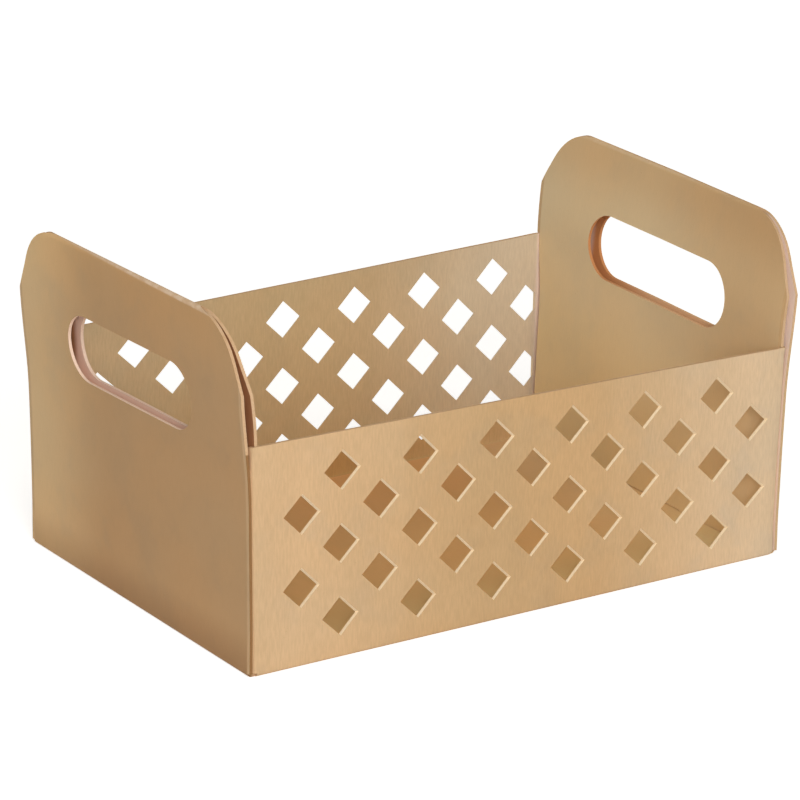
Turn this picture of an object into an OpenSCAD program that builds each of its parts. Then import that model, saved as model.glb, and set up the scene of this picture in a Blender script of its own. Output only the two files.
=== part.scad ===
// Open carrying crate, folded from one die-cut sheet of brown card.
// The base carries two long lattice walls and two raised ends. Each end goes up, turns
// over at the hand-hold and comes back down inside, so it is double there. The flaps at
// the ends of the long walls are caught between its two layers, and two tabs on the
// foot of the inner layer tuck into slots in the base. The ends splay outwards as they rise.
// X runs along the crate, Y across it and Z up. The origin is under the middle of the base.

/* [Crate] */
// Length over the ends, at the base
crate_l = 300; // [220:1:500]
// Width over the long walls
crate_w = 200; // [165:1:300]
// Height of the long walls
wall_h = 108; // [80:1:160]
// Height of the ends above the long walls
end_rise = 60; // [48:1:90]

/* [Card] */
// Thickness of the card
card_t = 1.5; // [0.8:0.1:2]
// Inside radius of a right-angled fold
fold_r = 0.5; // [0.2:0.1:1.5]
// Inside radius of the fold over the hand-hold
knife_r = 0.2; // [0.1:0.1:0.6]
// Room left between layers that lie side by side
slip = 0.4; // [0.2:0.1:0.8]

/* [Lattice] */
// Width of one diamond cut-out
hole_w = 19.6; // [10:0.1:24]
// Height of one diamond cut-out
hole_h = 19.2; // [10:0.1:24]
// Distance between columns of diamonds
pitch_x = 21.1; // [18:0.1:34]
// Distance between rows of diamonds
pitch_z = 17.4; // [16:0.1:28]
// Least distance from a diamond's middle to the end of the base, with the pattern centred
end_margin = 20; // [18:1:50]
// Least distance from a diamond's middle to the wall's top or bottom
edge_margin = 17; // [15:1:40]
// Height of the pattern's middle above the wall's middle
lattice_lift = 1; // [0:0.1:3]
// How far the front wall's pattern is moved along the crate
front_shift = 3.8; // [-12:0.1:12]
// How far the back wall's pattern is moved along the crate
back_shift = 12.8; // [-14:0.1:14]
// Card kept whole beside the fold at each end of a wall: a diamond that reaches it is cut short
fold_margin = 2.6; // [1:0.1:10]

/* [Hand-hold] */
// Length of the hand slot
slot_w = 111; // [80:1:130]
// Height of the hand slot
slot_h = 33; // [24:1:40]
// Distance from the top fold down to the middle of the slot
slot_drop = 50; // [36:1:60]
// Distance from the top fold down to the shoulders
shoulder_drop = 34; // [24:1:45]
// Angle at which the sides lean in above the shoulders
lean_angle = 24; // [10:1:35]
// Radius of the rounded top corners
top_r = 30; // [15:1:40]

/* [Splay and bow of the ends] */
// How much further out an end stands at its top than at its foot
splay = 3.2; // [0:0.1:8]
// How far the outer layer bows outwards
bow_out = 3.4; // [0:0.1:6]
// Height at which the outer layer begins to bow
bow_start = 80; // [40:1:100]
// Distance from the top fold down to the fullest part of the bow
bow_drop = 28; // [20:1:45]
// How far the top fold stands out beyond the outer layer's foot, before the splay
fold_out = 2.4; // [-3:0.1:5]
// Room between the flaps and the inner layer at its foot
foot_gap = 2.2; // [0.4:0.1:8]

/* [Flaps and tucks] */
// Length of the flap at each end of a long wall
flap_l = 62; // [20:1:75]
// How much lower the flap is at its free end than at the corner
flap_fall = 23; // [22:1:60]
// Width of one tuck tab
tab_w = 34; // [15:1:45]
// Distance between the two tuck tabs of an end, middle to middle
tab_pitch = 96; // [60:1:120]

/* [Hidden] */
$fn = 64;
card_colour = [0.79, 0.65, 0.47];
half_l = crate_l / 2;
half_w = crate_w / 2;
handle_h = wall_h + end_rise;
// Outside radius of a right-angled fold and of the fold over the hand-hold
bend_r = fold_r + card_t;
top_fold_r = knife_r + card_t;
// The flaps lie inside the outer layer of the end, and the walls run up to their folds
flap_face = half_l - card_t - slip;
wall_end = flap_face - bend_r;
// Upright edges of flaps and of the inner layer start just clear of the base
foot_z = card_t + slip;
// Height above which the ends splay
base_z = max(bend_r, foot_z);
// Places up the end
shoulder_z = handle_h - shoulder_drop;
bow_z = handle_h - bow_drop;
slot_z = handle_h - slot_drop;
// Middle of the top fold, seen along the crate's width, before the splay
fold_x = half_l + fold_out;
fold_z = handle_h - top_fold_r;
// The inner layer's face where it presses on the tops of the flaps, and at its foot
press_x = flap_face - 2 * card_t - slip;
foot_x = press_x - foot_gap;
// The furthest that an end reaches out
reach_x = half_l + splay + max(bow_out, fold_out + top_fold_r);
// Middle of a rounded top corner, where the lean and the top edge both touch its circle
corner_y = half_w - (top_r + (shoulder_drop - top_r) * sin(lean_angle)) / cos(lean_angle);
corner_z = handle_h - top_r;
// Diamonds to each side of the pattern's middle
columns = floor((half_l - end_margin) / pitch_x);
rows = floor((wall_h / 2 - edge_margin) / pitch_z);
lattice_z = wall_h / 2 + lattice_lift;
// Straight pieces in one stretch of the bow
steps = 8;
// Length by which a cut runs clear of the card, a card's thickness
over = card_t;

// How far an end has splayed outwards at height z
function lean(z) = splay * max(0, z - base_z) / (handle_h - base_z);
// Share of a bow reached at u, which runs from 0 to 1: swells from flat to flat
function swell(u) = (1 - cos(180 * u)) / 2;
// Share reached at u that starts flat and ends at its steepest, as card bent to a crease
function spring(u) = 1 - cos(90 * u);

// A point of an end, splayed
function splayed(x, z) = [x + lean(z), z];
// Line of one layer's face: foot, full and crease are its X at the foot, at full_z and at
// the top fold, before the splay. It leaves foot's X at start_z.
function face_line(foot, full, crease, start_z, full_z) = concat(
    [[foot, 0], [foot, base_z]],
    [for (i = [0 : steps]) splayed(
        foot + (full - foot) * swell(i / steps),
        start_z + (full_z - start_z) * i / steps
    )],
    [for (i = [1 : steps]) splayed(
        full + (crease - full) * spring(i / steps),
        full_z + (fold_z - full_z) * i / steps
    )]
);

// The points of a line moved along X by d, in the opposite order
function shifted_back(line, d) = [for (i = [len(line) - 1 : -1 : 0]) line[i] + [d, 0]];

// One layer of card along a face line, whose card lies on the side that t points to
module layer_section(line, t) {
    polygon(concat(line, shifted_back(line, t)));
}

// Quarter ring of card, as a section: a right-angled fold that leaves along +X and +Y
module fold_section() {
    intersection() {
        difference() {
            circle(r = bend_r);
            circle(r = fold_r);
        }
        square(bend_r);
    }
}

// Half ring of card, as a section: the fold over the hand-hold, open downwards
module top_fold_section() {
    difference() {
        circle(r = top_fold_r);
        circle(r = knife_r);
        translate([-top_fold_r - over, -top_fold_r - over])
            square([2 * (top_fold_r + over), top_fold_r + over]);
    }
}

// Outline of an end, flat. Below step_z each side is narrower by inset.
module end_outline(inset, step_z) {
    for (side = [0, 1])
        mirror([side, 0]) {
            polygon([
                [0, -over],
                [half_w - inset, -over],
                [half_w - inset, step_z],
                [half_w, step_z],
                [half_w, shoulder_z],
                [corner_y + top_r * cos(lean_angle), corner_z + top_r * sin(lean_angle)],
                [corner_y, handle_h],
                [0, handle_h]
            ]);
            translate([corner_y, corner_z])
                circle(r = top_r);
        }
}

// Outline of the hand slot, flat: a long hole with round ends
module slot_outline() {
    translate([0, slot_z]) {
        square([slot_w - slot_h, slot_h], center = true);
        for (side = [-1, 1])
            translate([side * (slot_w - slot_h) / 2, 0])
                circle(d = slot_h);
    }
}

// A section drawn in X and Z, drawn out across the crate's width
module across() {
    rotate([90, 0, 0])
        linear_extrude(crate_w, center = true)
            children();
}

// A shape drawn in Y and Z, drawn out along X through the whole of the +X end
module through_end() {
    translate([foot_x - over, 0, 0])
        rotate([90, 0, 90])
            linear_extrude(reach_x - foot_x + 2 * over)
                children();
}

// Outline of a long wall above its fold at the base, flat, with margin taken off each end
module wall_outline(margin) {
    for (side = [0, 1])
        mirror([side, 0])
            polygon([
                [0, bend_r],
                [wall_end - margin, bend_r],
                [wall_end - margin, base_z],
                [wall_end - margin + lean(wall_h), wall_h],
                [0, wall_h]
            ]);
}

// Diamond cut-outs of one long wall, flat, moved along by shift. Even columns hold the odd
// rows and odd columns the even rows.
module diamonds(shift) {
    intersection() {
        wall_outline(fold_margin);
        for (c = [-columns : columns], r = [-rows : rows])
            if ((c + r) % 2 != 0)
                translate([c * pitch_x + shift, lattice_z + r * pitch_z])
                    polygon([[hole_w / 2, 0], [0, hole_h / 2], [-hole_w / 2, 0], [0, -hole_h / 2]]);
    }
}

// Long wall on the +Y side, with its diamonds and its fold at the base
module wall(shift) {
    translate([0, half_w, 0])
        rotate([90, 0, 0])
            linear_extrude(card_t)
                difference() {
                    wall_outline(0);
                    diamonds(shift);
                }
    rotate([90, 0, 90])
        linear_extrude(2 * wall_end, center = true)
            translate([half_w - bend_r, bend_r])
                mirror([0, 1])
                    fold_section();
}

// Flap at the end of the +Y wall, turned in behind the +X end's outer layer. It leans out
// with the end, and a stub of its fold lies in the wall's own card.
module flap() {
    tilt = lean(wall_h) / (wall_h - base_z);
    multmatrix([[1, 0, tilt, -tilt * base_z], [0, 1, 0, 0], [0, 0, 1, 0]]) {
        translate([0, 0, foot_z])
            linear_extrude(wall_h - foot_z) {
                translate([wall_end, half_w - bend_r])
                    fold_section();
                translate([wall_end - card_t, half_w - card_t])
                    square([card_t, card_t]);
            }
        translate([flap_face - card_t, 0, 0])
            rotate([90, 0, 90])
                linear_extrude(card_t)
                    polygon([
                        [half_w - bend_r, foot_z],
                        [half_w - bend_r, wall_h],
                        [half_w - flap_l, wall_h - flap_fall],
                        [half_w - flap_l, foot_z]
                    ]);
    }
}

// Outer layer of the +X end, from the fold at the base up to the top fold
module outer_layer() {
    line = face_line(half_l, half_l + bow_out, fold_x + top_fold_r, bow_start, bow_z);
    intersection() {
        across() {
            difference() {
                layer_section(line, -card_t);
                square([half_l, bend_r]);
            }
            translate([half_l - bend_r, bend_r])
                mirror([0, 1])
                    fold_section();
            translate(splayed(fold_x, fold_z))
                top_fold_section();
        }
        through_end()
            end_outline(bend_r, bend_r);
    }
}

// Outline of an end's inner layer, flat: clear of the long walls, with its shoulders over
// their tops, and clear of the base, but for the two tuck tabs
module inner_outline() {
    difference() {
        end_outline(card_t + slip, wall_h + slip);
        translate([-half_w, -over])
            square([crate_w, foot_z + over]);
    }
    for (side = [-1, 1])
        translate([side * tab_pitch / 2 - tab_w / 2, slip])
            square([tab_w, foot_z]);
}

// Inner layer of the +X end, from the top fold down to the base
module inner_layer() {
    line = face_line(foot_x, press_x, fold_x - top_fold_r, base_z, wall_h);
    intersection() {
        across()
            layer_section(line, card_t);
        through_end()
            inner_outline();
    }
}

// Slots in the base for the tabs of the +X end
module tab_slots() {
    for (side = [-1, 1])
        translate([foot_x - slip, side * tab_pitch / 2 - tab_w / 2 - slip, -over])
            cube([card_t + 2 * slip, tab_w + 2 * slip, card_t + 2 * over]);
}

// The whole sheet, folded up
module folded_crate() {
    color(card_colour) {
        difference() {
            translate([-half_l + bend_r, -half_w + bend_r, 0])
                cube([crate_l - 2 * bend_r, crate_w - 2 * bend_r, card_t]);
            for (end = [0, 1])
                mirror([end, 0, 0])
                    tab_slots();
        }
        wall(back_shift);
        mirror([0, 1, 0])
            wall(front_shift);
        for (end = [0, 1])
            mirror([end, 0, 0]) {
                difference() {
                    union() {
                        outer_layer();
                        inner_layer();
                    }
                    through_end()
                        slot_outline();
                }
                for (side = [0, 1])
                    mirror([0, side, 0])
                        flap();
            }
    }
}

folded_crate();
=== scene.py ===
import bpy
import math
from mathutils import Matrix, Vector


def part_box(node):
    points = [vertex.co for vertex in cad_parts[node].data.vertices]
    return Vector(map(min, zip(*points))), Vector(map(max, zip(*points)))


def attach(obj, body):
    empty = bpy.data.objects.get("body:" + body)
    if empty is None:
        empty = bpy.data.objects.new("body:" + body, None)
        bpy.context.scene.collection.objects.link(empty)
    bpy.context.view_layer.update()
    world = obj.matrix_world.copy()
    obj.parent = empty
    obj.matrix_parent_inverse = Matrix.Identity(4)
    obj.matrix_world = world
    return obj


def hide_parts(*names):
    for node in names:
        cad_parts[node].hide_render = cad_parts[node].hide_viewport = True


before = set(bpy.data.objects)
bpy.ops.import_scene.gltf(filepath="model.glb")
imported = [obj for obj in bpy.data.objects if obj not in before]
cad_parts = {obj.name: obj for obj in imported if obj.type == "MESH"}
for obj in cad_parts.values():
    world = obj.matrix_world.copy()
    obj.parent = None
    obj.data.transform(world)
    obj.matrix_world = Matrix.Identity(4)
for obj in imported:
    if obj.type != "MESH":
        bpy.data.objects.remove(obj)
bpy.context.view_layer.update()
crate_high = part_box("folded_crate")[1]

MM = 0.001
HAIR = 0.1 * MM          # a hair's breadth, to tell places apart
SLACK = 0.01 * MM        # room for rounding

# Sizes of the crate, the same as the solid model's but for the room at its top
HALF_WIDTH = crate_high[1]
RACK_ROOM = 0.95 * MM    # the racking lifts two corners of the top into this room
TOP = crate_high[2] - RACK_ROOM
HALF_LENGTH = 150 * MM
WALL_TOP = 108 * MM
CARD = 1.5 * MM
FOLD = 2 * MM            # outside radius of a right-angled fold
FOLD_STEPS = 4
TOP_FOLD = 1.7 * MM      # outside radius of the fold over a hand-hold
TOP_FOLD_STEPS = 8
CLEAR = 0.4 * MM         # room between layers that lie side by side

# Places along the crate and up its ends
FLAP_FACE = HALF_LENGTH - CARD - CLEAR
WALL_END = FLAP_FACE - FOLD
BASE_END = HALF_LENGTH - FOLD
WALL_FOOT = HALF_WIDTH - FOLD
NEAR_END = 140 * MM      # further out lie the ends' layers, the flaps and the corners
OUTER_LAYER = HALF_LENGTH - HAIR         # further out lies the outer layer alone
TOP_FOLD_X = HALF_LENGTH + 2.4 * MM
TOP_FOLD_Z = TOP - TOP_FOLD
SHOULDER = TOP - 34 * MM
END_SIDE = HALF_WIDTH - 0.3 * MM
BOW_START = 80 * MM
BOW_FULL = TOP - 28 * MM
BOW = 3.4 * MM
SPLAY = 3.2 * MM         # how much further out an end stands at its top than at its foot
PRESS_X = FLAP_FACE - 2 * CARD - CLEAR   # inner layer's visible face at the flaps' tops
FOOT_X = PRESS_X - 2.2 * MM              # and at its foot
FOOT_GAP = 3 * MM        # gap beside its foot
GAP_FADE = 35 * MM       # height below the wall tops over which that gap closes
CROWN = 1.6 * MM         # how far the inner layer's middle stands into the crate
CROWN_RISE = 60 * MM     # height over which the crown grows from the base
CROWN_FALL = 40 * MM     # height over which it fades towards the top fold
RACK = 2.4 * MM          # how far opposite corners of the wall tops stand up or down
RACK_FADE = 0.45         # share of it that is lost from the wall tops to the ends' tops
WAVER = 0.9 * MM         # how far loose card is out of true
WAVER_SIZE = 75 * MM
STIFF = 25 * MM          # up to this far, a fold keeps the card beside it true

# Outline of an end above its shoulders
LEAN = math.radians(24)
CORNER_R = 30 * MM
CORNER_Y = END_SIDE - (CORNER_R + (TOP - SHOULDER - CORNER_R) * math.sin(LEAN)) / math.cos(LEAN)
CORNER_Z = TOP - CORNER_R

# Lattice of the long walls
HOLE_W = 19.6 * MM
HOLE_H = 19.2 * MM
PITCH_X = 21.1 * MM
PITCH_Z = 17.4 * MM
LATTICE_Z = WALL_TOP / 2 + 1 * MM
COLUMNS = 6
ROWS = 2
FRONT_SHIFT = 3.8 * MM
BACK_SHIFT = 12.8 * MM
LATTICE_END = WALL_END - 2.6 * MM   # a diamond that reaches this far is cut short
WALL_MIDDLE = HALF_WIDTH - CARD / 2
BAR = 8 * MM             # length of the bars that cut the diamonds
KNIFE_LEAN = 0.8 * MM    # a leaning knife shifts a hole this much along, and half as much up

# Flaps at the ends of the long walls
FLAP_REACH = 60 * MM
FLAP_FALL = 23 * MM      # how much less tall a flap is at its free end
FLAP_STEPS = 8

# Hand slots
SLOT_W = 111 * MM
SLOT_H = 33 * MM
SLOT_Z = TOP - 50 * MM

# Order of the finishes on the sheet
OUTSIDE, INSIDE, EDGE, LINING = range(4)

# Tuck tabs
TAB_W = 34 * MM
TAB_Y = 48 * MM
SLOT_NEAR = FOOT_X - CLEAR
SLOT_FAR = FOOT_X + CARD + CLEAR


# ---------- small helpers ----------

def select_none():
    bpy.ops.object.select_all(action="DESELECT")


def make_active(obj):
    select_none()
    obj.select_set(True)
    bpy.context.view_layer.objects.active = obj


def edit(kind="EDGE"):
    bpy.ops.object.mode_set(mode="EDIT")
    bpy.ops.mesh.select_mode(type=kind)


def object_mode():
    bpy.ops.object.mode_set(mode="OBJECT")


def pick_edges(obj, inside):
    """Selects the open edges of obj whose two ends both pass the test."""
    object_mode()
    mesh = obj.data
    faces_at = {}
    for face in mesh.polygons:
        for key in face.edge_keys:
            faces_at[key] = faces_at.get(key, 0) + 1
    for face in mesh.polygons:
        face.select = False
    for vert in mesh.vertices:
        vert.select = False
    for edge in mesh.edges:
        ends = [mesh.vertices[i].co for i in edge.vertices]
        edge.select = faces_at.get(edge.key, 0) == 1 and all(inside(co) for co in ends)
        if edge.select:
            for i in edge.vertices:
                mesh.vertices[i].select = True
    edit("EDGE")


def pick_verts(obj, inside):
    """Selects the points of obj that pass the test."""
    object_mode()
    for item in list(obj.data.polygons) + list(obj.data.edges):
        item.select = False
    for vert in obj.data.vertices:
        vert.select = inside(vert.co)
    edit("VERT")


def near(a, b, slack=0.05 * MM):
    return abs(a - b) < slack


def extrude_to(points, start):
    """Extrudes the selected edges along a path of points, beginning at start."""
    at = Vector(start)
    for point in points:
        step = Vector(point) - at
        bpy.ops.mesh.extrude_region_move(TRANSFORM_OT_translate={"value": step})
        at = Vector(point)


def arc(centre, radius, first, last, steps):
    """Points of an arc in a plane, after its first point, as (across, up) pairs."""
    turn = (last - first) / steps
    angles = [math.radians(first + turn * i) for i in range(1, steps + 1)]
    return [(centre[0] + radius * math.cos(a), centre[1] + radius * math.sin(a)) for a in angles]


def even(low, high, steps):
    """Evenly spaced values from low, left out, to high."""
    return [low + (high - low) * i / steps for i in range(1, steps + 1)]


# ---------- the folded sheet ----------

def swell(u):
    """Rises softly from 0 to 1, level at both ends."""
    u = min(max(u, 0), 1)
    return (1 - math.cos(math.pi * u)) / 2


def spring(u):
    """Rises from 0 to 1, level at first and then ever steeper, as card does near a fold."""
    return 1 - math.cos(math.pi / 2 * min(max(u, 0), 1))


def outer_x(z):
    """Place of the outer layer's face at a height, before the splay."""
    if z <= BOW_FULL:
        return HALF_LENGTH + BOW * swell((z - BOW_START) / (BOW_FULL - BOW_START))
    full = HALF_LENGTH + BOW
    crease = TOP_FOLD_X + TOP_FOLD
    return full + (crease - full) * spring((z - BOW_FULL) / (TOP_FOLD_Z - BOW_FULL))


def inner_x(z):
    """Place of the inner layer's visible face, along its upright edges, before the splay."""
    if z <= WALL_TOP:
        return FOOT_X + (PRESS_X - FOOT_X) * swell(z / WALL_TOP)
    crease = TOP_FOLD_X - TOP_FOLD
    return PRESS_X + (crease - PRESS_X) * spring((z - WALL_TOP) / (TOP_FOLD_Z - WALL_TOP))


def half_outline(z):
    """Half the width of an end at a height: upright side, lean above the shoulder, corner."""
    if z <= SHOULDER:
        return END_SIDE
    lean_top = CORNER_Z + CORNER_R * math.sin(LEAN)
    if z <= lean_top:
        return END_SIDE - (z - SHOULDER) * math.tan(LEAN)
    return CORNER_Y + math.sqrt(max(CORNER_R ** 2 - (z - CORNER_Z) ** 2, 0))


def flap_height(reach):
    """Height of a wall flap above its fold's radius, at a distance from its root."""
    return WALL_TOP - FOLD - FLAP_FALL * reach / FLAP_REACH


# Heights at which the layers of an end get a row of points
STATIONS = (
    even(FOLD, BOW_START, 12)
    + even(BOW_START, WALL_TOP + CLEAR, 7)
    + even(WALL_TOP + CLEAR, SHOULDER, 6)
    + even(SHOULDER, CORNER_Z + CORNER_R * math.sin(LEAN), 4)
    + [CORNER_Z + CORNER_R * math.sin(math.radians(a)) for a in (31, 38, 45, 52, 59, 65)]
    + [TOP_FOLD_Z]
)


def apply_all(obj):
    """Applies the modifiers in their order."""
    make_active(obj)
    for modifier in list(obj.modifiers):
        bpy.ops.object.modifier_apply(modifier=modifier.name)


def weigh(obj, name, share):
    """Gives each point its share in the group of that name, from 0 to 1."""
    group = obj.vertex_groups.new(name=name)
    for vert in obj.data.vertices:
        weight = share(vert.co)
        if weight > 0:
            group.add([vert.index], weight, "REPLACE")


def push(obj, name, distance, direction):
    """Moves a weighted group of points by a distance."""
    move = obj.modifiers.new(name, "DISPLACE")
    move.vertex_group = name
    move.strength = distance
    move.mid_level = 0
    move.direction = direction


def move_line(obj, axis, place, new_place):
    """Moves one line of the base's grid."""
    pick_verts(obj, lambda co: near(co[axis], place))
    step = [0, 0, 0]
    step[axis] = new_place - place
    bpy.ops.transform.translate(value=step)


def base_with_tab_slots():
    """A quarter of the base, with the slot that a tuck tab enters."""
    columns, rows = 31, 21
    bpy.ops.mesh.primitive_grid_add(x_subdivisions=columns, y_subdivisions=rows, size=1)
    obj = bpy.context.object
    edit("VERT")
    bpy.ops.mesh.select_all(action="SELECT")
    bpy.ops.transform.resize(value=(WALL_END, WALL_FOOT, 1), center_override=(0, 0, 0))
    bpy.ops.transform.translate(value=(WALL_END / 2, WALL_FOOT / 2, 0))
    move_line(obj, 0, WALL_END * (columns - 2) / columns, SLOT_NEAR)
    move_line(obj, 0, WALL_END * (columns - 1) / columns, SLOT_FAR)
    for side in (-1, 1):
        edge_y = TAB_Y + side * (TAB_W / 2 + CLEAR)
        row = round(edge_y * rows / WALL_FOOT)
        move_line(obj, 1, WALL_FOOT * row / rows, edge_y)
    object_mode()
    mesh = obj.data
    for item in list(mesh.vertices) + list(mesh.edges):
        item.select = False
    for face in mesh.polygons:
        middle = face.center
        face.select = SLOT_NEAR < middle.x < SLOT_FAR and abs(middle.y - TAB_Y) < TAB_W / 2
    edit("FACE")
    bpy.ops.mesh.delete(type="FACE")
    return obj


def quarter_sheet():
    """One quarter of the sheet's outer face: base, wall, flap, and both layers of the end."""
    obj = base_with_tab_slots()

    # The long wall
    pick_edges(obj, lambda co: near(co.y, WALL_FOOT))
    path = arc((WALL_FOOT, FOLD), FOLD, -90, 0, FOLD_STEPS)
    path += [(HALF_WIDTH, z) for z in even(FOLD, WALL_TOP, 22)]
    extrude_to([(0, y, z) for y, z in path], (0, WALL_FOOT, 0))

    # Its flap, turned in behind the end
    pick_edges(obj, lambda co: near(co.x, WALL_END) and co.z > FOLD - SLACK)
    path = arc((WALL_END, WALL_FOOT), FOLD, 90, 0, FOLD_STEPS)
    extrude_to([(x, y, 0) for x, y in path], (WALL_END, HALF_WIDTH, 0))
    before = 0
    for reach in even(0, FLAP_REACH, FLAP_STEPS):
        bpy.ops.mesh.extrude_region_move(TRANSFORM_OT_translate={"value": (0, before - reach, 0)})
        shrink = flap_height(reach) / flap_height(before)
        bpy.ops.transform.resize(value=(1, 1, shrink), center_override=(0, 0, FOLD))
        before = reach

    # The end: outer layer, top fold and inner layer
    pick_edges(obj, lambda co: near(co.x, WALL_END) and near(co.z, 0))
    path = [(BASE_END, 0)]
    path += arc((BASE_END, FOLD), FOLD, -90, 0, FOLD_STEPS)
    path += [(outer_x(z), z) for z in STATIONS]
    path += arc((TOP_FOLD_X, TOP_FOLD_Z), TOP_FOLD, 0, 180, TOP_FOLD_STEPS)
    down = [z for z in reversed(STATIONS) if z < TOP_FOLD_Z - SLACK]
    path += [(inner_x(z), z) for z in down + [CARD + CLEAR]]
    extrude_to([(x, 0, z) for x, z in path], (WALL_END, 0, 0))

    # Tuck tab at the foot of the inner layer
    foot = CARD + CLEAR

    def above_tab(co):
        return co.x < PRESS_X and near(co.z, foot) and abs(co.y - TAB_Y) < TAB_W / 2 + MM

    pick_edges(obj, above_tab)
    bpy.ops.mesh.extrude_region_move(TRANSFORM_OT_translate={"value": (0, 0, CLEAR - foot)})
    narrow = TAB_W / (TAB_W + 2 * CLEAR)
    bpy.ops.transform.resize(value=(1, narrow, 1), center_override=(0, TAB_Y, 0))

    # Both layers reach out to the crate's sides, the inner one only above the wall
    def layer_side(co):
        lowest = FOLD if co.x > OUTER_LAYER else WALL_TOP + CLEAR
        return near(co.y, WALL_FOOT) and co.z > lowest - SLACK

    pick_edges(obj, layer_side)
    bpy.ops.mesh.extrude_region_move(TRANSFORM_OT_translate={"value": (0, END_SIDE - WALL_FOOT, 0)})

    # Outline above the shoulders
    object_mode()
    heights = sorted({round(v.co.z, 7) for v in obj.data.vertices if v.co.z > SHOULDER + SLACK})
    for z in heights:
        pick_verts(obj, lambda co: near(co.z, z, SLACK / 5))
        narrow = half_outline(z) / END_SIDE
        bpy.ops.transform.resize(value=(1, narrow, 1), center_override=(0, 0, 0))
    edit("FACE")
    bpy.ops.mesh.select_all(action="SELECT")
    bpy.ops.mesh.flip_normals()
    object_mode()

    # The inner layer is narrower below the wall tops; only its side edge moves
    def foot_share(co):
        if not on_inner_layer(co) or co.z > WALL_TOP:
            return 0
        return (co.y / WALL_FOOT) ** 8 * swell((WALL_TOP - co.z) / GAP_FADE)

    weigh(obj, "foot", foot_share)
    push(obj, "foot", -FOOT_GAP, "Y")
    apply_all(obj)

    # The ends splay outwards as they rise, and the walls with them
    weigh(obj, "splay", lambda co: min(1, co.x / WALL_END) * max(0, co.z - FOLD) / (TOP - FOLD))
    push(obj, "splay", SPLAY, "X")
    apply_all(obj)
    return obj


def mirror_quarter(obj):
    """Adds the other three quarters."""
    mirror = obj.modifiers.new("other quarters", "MIRROR")
    mirror.use_axis = (True, True, False)
    mirror.use_clip = True
    mirror.merge_threshold = SLACK
    apply_all(obj)


def on_inner_layer(co):
    """True for a point of an inner layer, which lies inside the line half way between layers."""
    if co.z < CARD or abs(co.x) < NEAR_END or abs(co.y) > HALF_WIDTH - HAIR:
        return False
    splay = SPLAY * max(0, co.z - FOLD) / (TOP - FOLD)
    half_way = (outer_x(co.z) + inner_x(co.z)) / 2 if co.z > WALL_TOP else PRESS_X + CARD / 2
    return abs(co.x) - splay < half_way and (co.z > WALL_TOP or abs(co.y) < WALL_FOOT + HAIR)


def crown_weight(co):
    """Share of the crown that the inner layer has at a place, from 0 to 1."""
    fold_x = TOP_FOLD_X + SPLAY - 5 * HAIR
    if not on_inner_layer(co) or abs(co.x) > fold_x:
        return 0
    across = 1 - (co.y / HALF_WIDTH) ** 2
    return across * swell((TOP_FOLD_Z - co.z) / CROWN_FALL) * swell(co.z / CROWN_RISE)


def loose_weight(co):
    """Share of the card's unevenness at a place: none where it rests, folds or lies on a flap."""
    between = WALL_END < abs(co.x) < OUTER_LAYER and abs(co.y) < WALL_FOOT + HAIR
    if co.z < MM or between and co.z < WALL_TOP + CLEAR:
        return 0
    if on_inner_layer(co):
        return swell((co.z - WALL_TOP) / (40 * MM)) * swell((TOP - co.z) / STIFF)
    from_fold = min(co.z, TOP - co.z)
    if abs(co.y) > WALL_FOOT and abs(co.x) < WALL_END:
        from_fold = min(co.z, 2 * (WALL_END - abs(co.x)))
    return swell(from_fold / STIFF)


def shape_card(obj):
    """The crown of the inner layers, and the slight unevenness of real card."""
    weigh(obj, "crown", crown_weight)
    push(obj, "crown", CROWN, "NORMAL")
    clouds = bpy.data.textures.new("card unevenness", "CLOUDS")
    clouds.noise_scale = WAVER_SIZE
    clouds.noise_depth = 1
    weigh(obj, "loose", loose_weight)
    uneven = obj.modifiers.new("unevenness", "DISPLACE")
    uneven.vertex_group = "loose"
    uneven.texture = clouds
    uneven.texture_coords = "LOCAL"
    uneven.strength = WAVER
    uneven.mid_level = 1
    apply_all(obj)


def thicken(obj):
    """Gives the skin its thickness, inwards from the outer face."""
    solid = obj.modifiers.new("card thickness", "SOLIDIFY")
    solid.thickness = CARD
    solid.offset = -1
    solid.use_even_offset = True
    solid.material_offset = INSIDE
    solid.material_offset_rim = EDGE
    apply_all(obj)


def cut(obj, cutter):
    """Cuts with another object, whose finish lines the cut, and removes that object."""
    hole = obj.modifiers.new("cut", "BOOLEAN")
    hole.operation = "DIFFERENCE"
    hole.solver = "EXACT"
    hole.object = cutter
    hole.material_mode = "TRANSFER"
    apply_all(obj)
    bpy.data.objects.remove(cutter)


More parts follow.
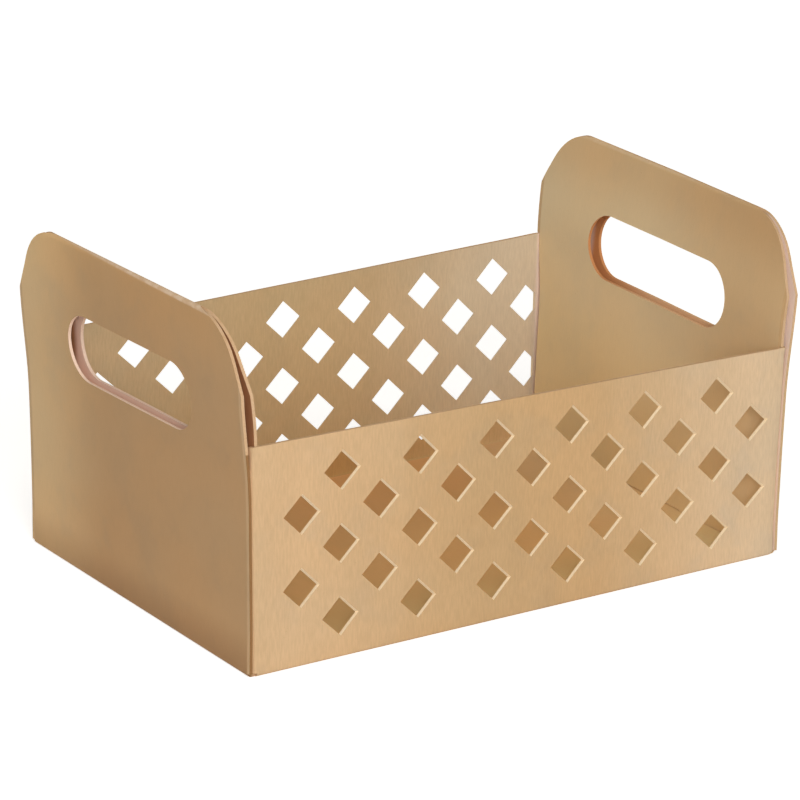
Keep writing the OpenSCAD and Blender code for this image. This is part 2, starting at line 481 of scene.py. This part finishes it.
def diamond_cutter(side, shift, finish):
    """Bars through one long wall, cut short where they reach its end."""
    bpy.ops.mesh.primitive_cylinder_add(vertices=4, radius=HOLE_W / 2, depth=BAR)
    bars = bpy.context.object
    edit("VERT")
    bpy.ops.mesh.delete(type="VERT")
    squash = HOLE_H / HOLE_W
    for column in range(-COLUMNS, COLUMNS + 1):
        for row in range(-ROWS, ROWS + 1):
            if (column + row) % 2 == 0:
                continue
            bpy.ops.mesh.primitive_cylinder_add(
                vertices=4,
                radius=HOLE_W / 2,
                depth=BAR,
                location=(column * PITCH_X + shift, side * WALL_MIDDLE, row * PITCH_Z / squash),
                rotation=(math.radians(90), 0, 0),
            )
    bpy.ops.mesh.select_all(action="SELECT")
    bpy.ops.transform.resize(value=(1, 1, squash), center_override=(0, 0, 0))
    bpy.ops.transform.translate(value=(0, 0, LATTICE_Z))
    for face in (-1, 1):    # the inner ends of the bars, then the outer ones
        pick_verts(bars, lambda co: (abs(co.y) - WALL_MIDDLE) * face > 0)
        lean = face * KNIFE_LEAN * BAR / CARD
        bpy.ops.transform.translate(value=(lean / 2, 0, -side * lean / 4))
    slope = SPLAY / (TOP - FOLD)
    for end in (-1, 1):
        bpy.ops.mesh.select_all(action="SELECT")
        bpy.ops.mesh.bisect(
            plane_co=(end * LATTICE_END, 0, FOLD),
            plane_no=(end, 0, -slope),
            use_fill=True,
            clear_outer=True,
        )
    object_mode()
    bars.data.materials.append(finish)
    return bars


def slot_cutter(finish):
    """A long bar with round ends through both hand slots."""
    bpy.ops.mesh.primitive_cube_add(size=1)
    bar = bpy.context.object
    edit("FACE")
    bpy.ops.mesh.select_all(action="SELECT")
    bpy.ops.transform.resize(value=(3 * HALF_LENGTH, SLOT_W, SLOT_H), center_override=(0, 0, 0))
    object_mode()
    for item in list(bar.data.polygons) + list(bar.data.vertices):
        item.select = False
    for edge in bar.data.edges:
        start, end = (bar.data.vertices[i].co.x for i in edge.vertices)
        edge.select = abs(start - end) > HALF_LENGTH
    edit("EDGE")
    bpy.ops.mesh.bevel(offset=SLOT_H / 2 - SLACK, segments=16, offset_type="OFFSET")
    bpy.ops.mesh.select_all(action="SELECT")
    bpy.ops.transform.translate(value=(0, 0, SLOT_Z))
    object_mode()
    bar.data.materials.append(finish)
    return bar


def rack(obj):
    """Card racks a little as it is folded up: two opposite corners of the top stand higher, and
    the back of the right-hand end leans in, with its shoulder raised."""
    def corner(co, sign):
        twist = sign * (co.x / HALF_LENGTH) * (co.y / HALF_WIDTH)
        if co.z < WALL_TOP:
            by_height = co.z / WALL_TOP
        else:
            by_height = 1 - RACK_FADE * (co.z - WALL_TOP) / (TOP - WALL_TOP)
        return max(0, twist) * max(0, by_height)

    def back_right(co):
        return max(0, co.x / HALF_LENGTH) * max(0, co.y / HALF_WIDTH) * max(0, co.z / TOP)

    def back_shoulder(co):
        by_height = swell(1 - abs(co.z - SHOULDER) / (24 * MM))
        return by_height * swell((co.y - 60 * MM) / (30 * MM)) if co.x > 0 else 0

    weigh(obj, "corners up", lambda co: corner(co, 1))
    weigh(obj, "corners down", lambda co: corner(co, -1))
    weigh(obj, "leans in", back_right)
    weigh(obj, "shoulder up", back_shoulder)
    push(obj, "corners up", RACK, "Z")
    push(obj, "corners down", -RACK, "Z")
    push(obj, "leans in", -RACK, "X")
    push(obj, "shoulder up", RACK, "Z")
    apply_all(obj)


def line_ends(obj):
    """Gives the inner layers' faces towards the crate their own finish, with its own painted light and
    shade.
    """
    for face in obj.data.polygons:
        inwards = face.normal.x * face.center.x < -0.5 * abs(face.center.x)
        if face.material_index == OUTSIDE and inwards and abs(face.center.x) > NEAR_END:
            face.material_index = LINING


# ---------- finishes ----------

def linear(red, green, blue):
    """A colour from its 0 to 255 values."""
    def level(v):
        v = v / 255
        return v / 12.92 if v <= 0.04045 else ((v + 0.055) / 1.055) ** 2.4

    return (level(red), level(green), level(blue), 1.0)


def feed(tree, socket, value):
    """Gives an input a value, or joins another node's output to it."""
    if isinstance(value, (tuple, float, int)):
        socket.default_value = value
    else:
        tree.links.new(value, socket)


def noise(tree, vector, scale, detail=3, rough=0.5):
    """Uneven spots, scale of them to a metre."""
    node = tree.nodes.new("ShaderNodeTexNoise")
    node.inputs["Scale"].default_value = scale
    node.inputs["Detail"].default_value = detail
    node.inputs["Roughness"].default_value = rough
    tree.links.new(vector, node.inputs["Vector"])
    return node.outputs["Fac"]


def ramp(tree, value, low, high, to_low=0.0, to_high=1.0):
    """A soft step from to_low to to_high, while the value runs from low to high."""
    node = tree.nodes.new("ShaderNodeMapRange")
    node.interpolation_type = "SMOOTHSTEP"
    node.inputs["From Min"].default_value = low
    node.inputs["From Max"].default_value = high
    node.inputs["To Min"].default_value = to_low
    node.inputs["To Max"].default_value = to_high
    tree.links.new(value, node.inputs["Value"])
    return node.outputs["Result"]


def mix(tree, share, first, second, blend="MIX"):
    """A mix of two colours, by the share of the second."""
    node = tree.nodes.new("ShaderNodeMix")
    node.data_type = "RGBA"
    node.blend_type = blend
    feed(tree, node.inputs[0], share)
    feed(tree, node.inputs[6], first)
    feed(tree, node.inputs[7], second)
    return node.outputs[2]


def work_out(tree, operation, *values):
    """The result of a sum on values or other nodes' outputs."""
    node = tree.nodes.new("ShaderNodeMath")
    node.operation = operation
    for socket, value in zip(node.inputs, values):
        feed(tree, socket, value)
    return node.outputs[0]


def multiply(tree, colour, share, low, high):
    """Changes a colour by a factor that runs from low to high with the share."""
    factor = mix(tree, share, (*low, 1), (*high, 1))
    return mix(tree, 1.0, colour, factor, "MULTIPLY")


def relief(tree, height, strength, depth):
    """Slight relief of a surface, as its new normal."""
    bump = tree.nodes.new("ShaderNodeBump")
    bump.inputs["Strength"].default_value = strength
    bump.inputs["Distance"].default_value = depth
    tree.links.new(height, bump.inputs["Height"])
    return bump.outputs["Normal"]


def card_finish(name):
    """A new finish for the sheet, with the places on the crate that it reads."""
    material = bpy.data.materials.new(name)
    material.use_nodes = True
    tree = material.node_tree
    coords = tree.nodes.new("ShaderNodeTexCoord").outputs
    split = tree.nodes.new("ShaderNodeSeparateXYZ")
    tree.links.new(coords["Object"], split.inputs[0])
    spot = {
        "here": coords["Object"],
        "sheet": coords["UV"],
        "X": split.outputs["X"],
        "Y": split.outputs["Y"],
        "Z": split.outputs["Z"],
    }
    spot["along"] = work_out(tree, "ABSOLUTE", spot["X"])
    spot["aside"] = work_out(tree, "ABSOLUTE", spot["Y"])
    spot["right"] = ramp(tree, spot["X"], -MM, MM)
    spot["wall"] = ramp(tree, spot["aside"], WALL_FOOT - MM, WALL_FOOT)
    return material, tree, spot


def finish_with(tree, colour, rough, shine, normal):
    """Joins what was worked out to the surface."""
    surface = tree.nodes["Principled BSDF"]
    feed(tree, surface.inputs["Base Color"], colour)
    feed(tree, surface.inputs["Roughness"], rough)
    feed(tree, surface.inputs["Specular IOR Level"], shine)
    feed(tree, surface.inputs["Normal"], normal)


def stretched(tree, place, across, up):
    """Places on the sheet, scaled, so that spots on them become long and thin."""
    node = tree.nodes.new("ShaderNodeMapping")
    node.inputs["Scale"].default_value = (across, up, 1)
    tree.links.new(place, node.inputs["Vector"])
    return node.outputs["Vector"]


def painted_light_drift(tree, colour, spot, where, axis, start, end, low, high):
    """Painted light or shade: a slow change of colour along one axis, where the mask allows it."""
    share = ramp(tree, spot[axis], start * MM, end * MM)
    return mix(tree, where, colour, multiply(tree, colour, share, low, high))


def painted_slot_shade(tree, spot):
    """Painted shade inside the right-hand slot: brown, darkest at its back end."""
    share = ramp(tree, spot["Y"], 0, 50 * MM)
    return mix(tree, share, linear(238, 192, 146), linear(212, 146, 94))


def tints_and_painted_shading(tree, spot, cloud, main, warm, grey, drifts):
    """Broad random shifts of tint, then painted shade that makes the walls a little darker and warmer
    half way along, and the given slow changes of painted light and shade.
    """
    tint = noise(tree, spot["here"], 13.0, 2, 0.5)
    colour = mix(tree, ramp(tree, tint, 0.35, 0.65), main, warm)
    colour = mix(tree, ramp(tree, cloud, 0.45, 0.75, 0.0, 0.55), colour, grey)
    # Painted shade: the walls darker and warmer half way along
    middle = ramp(tree, spot["along"], 15 * MM, 135 * MM, 1.0, 0.0)
    middle = work_out(tree, "MULTIPLY", middle, spot["wall"])
    colour = multiply(tree, colour, middle, (1, 1, 1), (0.87, 0.83, 0.74))
    masks = {
        "wall": spot["wall"],
        "rest": work_out(tree, "SUBTRACT", 1.0, spot["wall"]),
        "low": ramp(tree, spot["Z"], 60 * MM, 100 * MM, 1.0, 0.0),
    }
    for where, change in drifts:
        colour = painted_light_drift(tree, colour, spot, masks[where], *change)
    return colour


def light_and_shade_between_layers(tree, spot, colour, left_slot, left_side, right_side):
    """Card that lies between two layers, coloured with painted light and shade: pale painted light at
    the left-hand slot and the right-hand side edges, brown painted shade at the right-hand slot and the
    left-hand side edges.
    """
    beside_slot = ramp(tree, spot["aside"], SLOT_W / 2 + 2 * MM, SLOT_W / 2 + 8 * MM)
    at_slot = mix(tree, spot["right"], left_slot, painted_slot_shade(tree, spot))
    at_side = mix(tree, spot["right"], left_side, right_side)
    hidden = mix(tree, beside_slot, at_slot, at_side)
    past_lining = ramp(tree, spot["along"], 143 * MM, 146 * MM)
    return mix(tree, past_lining, colour, hidden)


def worn_and_lit_folds(tree, spot, colour):
    """The folds over the hand-holds are pale along their crests in patches, partly wear and partly a
    painted highlight, the right-hand one less.
    """
    top = ramp(tree, spot["Z"], TOP - 1.3 * MM, TOP - 0.3 * MM)
    patchy = ramp(tree, noise(tree, spot["here"], 220.0, 3, 0.6), 0.35, 0.65, 0.5, 1.0)
    worn_and_lit = work_out(tree, "MULTIPLY", top, patchy)
    # Less of the painted highlight on the right-hand fold
    worn_and_lit = work_out(tree, "MULTIPLY", worn_and_lit, ramp(tree, spot["X"], -MM, MM, 1.0, 0.3))
    return mix(tree, worn_and_lit, colour, linear(238, 212, 184))


def kraft(name, main, warm, grey, drifts, hidden=None):
    """Brown card: broad tints with painted light and shade, fine upright ribs on the walls, fibres, and
    fold crests pale with wear and a painted highlight.
    """
    material, tree, spot = card_finish(name)
    cloud = noise(tree, spot["here"], 38.0, 3, 0.6)
    colour = tints_and_painted_shading(tree, spot, cloud, main, warm, grey, drifts)

    # Upright ribs and wider bands, faint on the ends
    bands = noise(tree, stretched(tree, spot["sheet"], 60, 9), 1.0, 2, 0.5)
    banded = ramp(tree, bands, 0.3, 0.7)
    ribbed = multiply(tree, colour, banded, (0.97, 0.97, 0.965), (1.02, 1.02, 1.02))
    ribs = noise(tree, stretched(tree, spot["sheet"], 1100, 150), 1.0, 3, 0.6)
    lined = ramp(tree, ribs, 0.3, 0.72)
    ribbed = multiply(tree, ribbed, lined, (0.93, 0.925, 0.91), (1.03, 1.03, 1.025))
    strength = work_out(tree, "MULTIPLY_ADD", spot["wall"], 0.75, 0.25)
    colour = mix(tree, strength, colour, ribbed)

    # Fibres, as sparse darker flecks
    fibre = noise(tree, spot["here"], 1500.0, 2, 0.6)
    flecks = ramp(tree, fibre, 0.66, 0.76)
    colour = multiply(tree, colour, flecks, (1, 1, 1), (0.88, 0.85, 0.8))

    # Painted light and shade on card that lies between two layers
    if hidden:
        colour = light_and_shade_between_layers(tree, spot, colour, *hidden)
    colour = worn_and_lit_folds(tree, spot, colour)
    rough = ramp(tree, cloud, 0.3, 0.7, 0.74, 0.86)
    height = work_out(tree, "MULTIPLY", ribs, strength)
    height = work_out(tree, "ADD", height, work_out(tree, "MULTIPLY", fibre, 0.25))
    finish_with(tree, colour, rough, 0.25, relief(tree, height, 0.25, 0.12 * MM))
    return material


def lattice_mask(tree, spot):
    """1 on the rims of the diamonds, 0 on the crate's other cut edges."""
    mask = spot["wall"]
    for place, end in ((spot["Z"], WALL_TOP - 4 * MM), (spot["along"], WALL_END)):
        short_of = ramp(tree, place, end - MM, end, 1.0, 0.0)
        mask = work_out(tree, "MULTIPLY", mask, short_of)
    return mask


def corner_mask(tree, spot):
    """1 on the ends' side edges below the tops of the walls, which lie in shade."""
    outwards = ramp(tree, spot["along"], WALL_END, HALF_LENGTH - MM)
    low = ramp(tree, spot["Z"], WALL_TOP - MM, WALL_TOP, 1.0, 0.0)
    return work_out(tree, "MULTIPLY", outwards, low)


def cut_edge(name):
    """Cut card: pale cream on the diamonds' rims, partly fresh card and partly painted light; painted
    shade on the ends' side edges below the wall tops; painted light in the left-hand slot and painted
    shade in the right-hand one; fine darker ticks where its ribs end.
    """
    material, tree, spot = card_finish(name)
    soft = noise(tree, spot["here"], 90.0, 2, 0.5)
    handled = mix(tree, ramp(tree, soft, 0.3, 0.7), linear(208, 172, 132), linear(216, 182, 146))
    # Painted shade on the ends' side edges below the wall tops, darker on the left-hand end
    shaded = mix(tree, spot["right"], linear(150, 112, 72), linear(206, 174, 134))
    colour = mix(tree, corner_mask(tree, spot), handled, shaded)
    # Painted light on the left-hand slot's cut edges, painted shade on the right-hand slot's
    slot_light_and_shade = mix(tree, spot["right"], linear(252, 222, 200), painted_slot_shade(tree, spot))
    in_slot = ramp(tree, spot["aside"], SLOT_W / 2 + MM, SLOT_W / 2 + 2 * MM, 1.0, 0.0)
    colour = mix(tree, in_slot, colour, slot_light_and_shade)
    # The diamonds' rims: pale cream of fresh card, made paler still as painted light
    colour = mix(tree, lattice_mask(tree, spot), colour, linear(255, 234, 200))
    ticks = noise(tree, spot["here"], 900.0, 2, 0.6)
    colour = multiply(tree, colour, ramp(tree, ticks, 0.52, 0.7), (1, 1, 1), (0.94, 0.9, 0.84))
    finish_with(tree, colour, 0.9, 0.2, relief(tree, ticks, 0.4, 0.15 * MM))
    return material


# ---------- the crate ----------

# Each slow change of colour is painted light or shade: where it acts, along which axis, from and to
# which place in millimetres, and the red, green and blue factors at its two ends
outside = kraft(
    "kraft_outside",
    linear(216, 184, 141),
    linear(220, 184, 138),
    linear(208, 180, 142),
    (
        # Painted light: the long walls paler and bluer towards the right-hand end
        ("wall", ("X", 30, 150, (1.0, 1.0, 1.06), (1.06, 1.16, 1.4))),
        # Painted shade and light: the ends darker at the front, paler at the back
        ("rest", ("Y", 20, 95, (0.85, 0.78, 0.74), (1.18, 1.21, 1.22))),
        # Painted shade: the ends darker near the floor
        ("rest", ("Z", 0, 24, (0.76, 0.71, 0.68), (1.0, 1.0, 1.0))),
        # Painted light: the ends paler near their tops
        ("rest", ("Z", 130, 165, (1.0, 1.0, 1.0), (1.1, 1.07, 1.0))),
    ),
)
inside = kraft(
    "kraft_inside",
    linear(221, 194, 162),
    linear(223, 192, 158),
    linear(216, 192, 162),
    (
        # Painted light: the walls' inner faces paler and bluer towards the right-hand end
        ("wall", ("X", 0, 150, (0.96, 1.02, 0.97), (0.98, 1.12, 1.28))),
        # Painted shade: the walls' inner faces darker and redder at their foot
        ("wall", ("Z", 12, 18, (0.96, 0.8, 0.58), (1.0, 1.0, 1.0))),
        # Painted light and shade: the base redder and lighter at the front, darker at the back
        ("rest", ("Y", -60, 75, (1.34, 1.12, 0.75), (1.02, 0.8, 0.54))),
        # Painted light: the base paler near the front wall
        ("rest", ("Y", -80, -20, (1.15, 1.3, 1.35), (1.0, 1.0, 1.0))),
        # Painted light: the base paler towards the right-hand end
        ("rest", ("X", 60, 130, (1.0, 1.0, 1.0), (0.98, 1.16, 1.45))),
    ),
    # Between two layers, painted light and shade: pale light at the left slot, brown shade at the left
    # side edges, pale light at the right side edges
    (linear(255, 222, 202), linear(196, 140, 98), linear(248, 226, 212)),
)
lining = kraft(
    "kraft_lining",
    linear(216, 184, 141),
    linear(220, 184, 138),
    linear(211, 181, 141),
    (
        # Painted light: the ends' inner faces paler towards the back
        ("rest", ("Y", -90, 30, (1.02, 1.08, 1.13), (1.2, 1.4, 1.6))),
        # Painted shade: the ends' inner faces darker and warmer near their tops
        ("rest", ("Z", 125, 165, (1.0, 1.0, 1.0), (0.89, 0.79, 0.7))),
        # Painted light: paler below the wall tops, most towards the front
        ("low", ("Y", -70, 60, (1.35, 1.4, 1.45), (1.0, 1.0, 0.95))),
    ),
)
edge = cut_edge("card_cut_edge")

select_none()
sheet = quarter_sheet()
sheet.name = "crate_sheet"
sheet.data.name = "crate_sheet"
for finish in (outside, inside, edge, lining):    # in the order of OUTSIDE, INSIDE, EDGE, LINING
    sheet.data.materials.append(finish)
mirror_quarter(sheet)
shape_card(sheet)
thicken(sheet)
cut(sheet, slot_cutter(edge))
cut(sheet, diamond_cutter(-1, FRONT_SHIFT, edge))
cut(sheet, diamond_cutter(1, BACK_SHIFT, edge))
rack(sheet)
line_ends(sheet)
make_active(sheet)
edit("FACE")
bpy.ops.mesh.select_all(action="SELECT")
bpy.ops.uv.cube_project(cube_size=1.0, correct_aspect=False, clip_to_bounds=False, scale_to_bounds=False)
object_mode()
bpy.ops.object.shade_smooth_by_angle(angle=math.radians(30))
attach(sheet, "root")
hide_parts("folded_crate")


# ---------- floor, light and camera ----------

def seen_by(tree, first, *others):
    """1 for the named kinds of ray, and 0 for the light that falls on the crate."""
    path = tree.nodes.new("ShaderNodeLightPath").outputs
    seen = path[first]
    for ray in others:
        seen = work_out(tree, "MAXIMUM", seen, path[ray])
    return seen


def studio_floor():
    """A white floor that keeps the crate's shadow, and looks whiter further from the crate."""
    bpy.ops.mesh.primitive_grid_add(x_subdivisions=8, y_subdivisions=8, size=16)
    floor = bpy.context.object
    floor.name = "floor"
    material = bpy.data.materials.new("studio_white")
    material.use_nodes = True
    tree = material.node_tree
    surface = tree.nodes["Principled BSDF"]
    surface.inputs["Base Color"].default_value = (0.86, 0.86, 0.86, 1)
    surface.inputs["Roughness"].default_value = 0.9
    surface.inputs["Specular IOR Level"].default_value = 0.0
    place = tree.nodes.new("ShaderNodeTexCoord").outputs["Object"]
    far = tree.nodes.new("ShaderNodeVectorMath")
    far.operation = "LENGTH"
    tree.links.new(place, far.inputs[0])
    white = ramp(tree, far.outputs["Value"], 0.3, 1.5, 0.68, 0.85)
    seen = seen_by(tree, "Is Camera Ray", "Is Glossy Ray")
    glow = tree.nodes.new("ShaderNodeEmission")
    glow.inputs["Color"].default_value = (1, 1, 1, 1)
    tree.links.new(work_out(tree, "MULTIPLY", seen, white), glow.inputs["Strength"])
    both = tree.nodes.new("ShaderNodeAddShader")
    tree.links.new(surface.outputs[0], both.inputs[0])
    tree.links.new(glow.outputs[0], both.inputs[1])
    tree.links.new(both.outputs[0], tree.nodes["Material Output"].inputs["Surface"])
    floor.data.materials.append(material)


def studio_world():
    """A world that looks white and lights the crate only a little."""
    world = bpy.data.worlds.new("studio")
    world.use_nodes = True
    tree = world.node_tree
    seen = seen_by(tree, "Is Camera Ray", "Is Glossy Ray", "Is Transmission Ray")
    back = tree.nodes["Background"]
    back.inputs["Color"].default_value = (1, 1, 1, 1)
    tree.links.new(ramp(tree, seen, 0.0, 1.0, 0.2, 1.0), back.inputs["Strength"])
    bpy.context.scene.world = world


def soft_light(name, place, size, power, colour=(1, 1, 1)):
    """A round soft light that faces the middle of the crate."""
    bpy.ops.object.light_add(type="AREA", location=place)
    lamp = bpy.context.object
    lamp.name = name
    lamp.data.shape = "DISK"
    lamp.data.size = size
    lamp.data.energy = power
    lamp.data.color = colour
    middle = Vector((0, 0, 0.07))
    aim = middle - Vector(place)
    lamp.rotation_euler = aim.to_track_quat("-Z", "Y").to_euler()


def camera():
    """A long lens that looks at the crate's front left corner from a little above it."""
    turn, rise, roll = (math.radians(a) for a in (-33.87, 19.335, 1.02))
    right = Vector((math.cos(turn), math.sin(turn), 0))
    back = Vector((math.sin(turn) * math.cos(rise), -math.cos(turn) * math.cos(rise), math.sin(rise)))
    up = back.cross(right)
    across = right * math.cos(roll) + up * math.sin(roll)
    upright = up * math.cos(roll) - right * math.sin(roll)
    data = bpy.data.cameras.new("camera")
    data.lens = 202.5
    data.sensor_width = 36
    data.clip_start = 0.05
    data.clip_end = 50
    obj = bpy.data.objects.new("camera", data)
    bpy.context.scene.collection.objects.link(obj)
    stand = Matrix.Translation((-1.1357, -1.6856, 0.789))
    obj.matrix_world = stand @ Matrix((across, upright, back)).transposed().to_4x4()
    bpy.context.scene.camera = obj


studio_floor()
studio_world()
# Each light: its place and width in metres, its power in watts, its tint
soft_light("key", (-0.9, -2.1, 1.0), 1.4, 31.5)
soft_light("high", (-0.7, -1.1, 2.1), 1.2, 10.5, (1.0, 0.86, 0.62))
soft_light("back left", (-1.7, 1.2, 1.5), 1.0, 3.5, (1.0, 0.88, 0.7))
soft_light("front right", (1.6, -1.8, 0.9), 1.0, 4)
camera()
bpy.context.scene.view_settings.view_transform = "Standard"
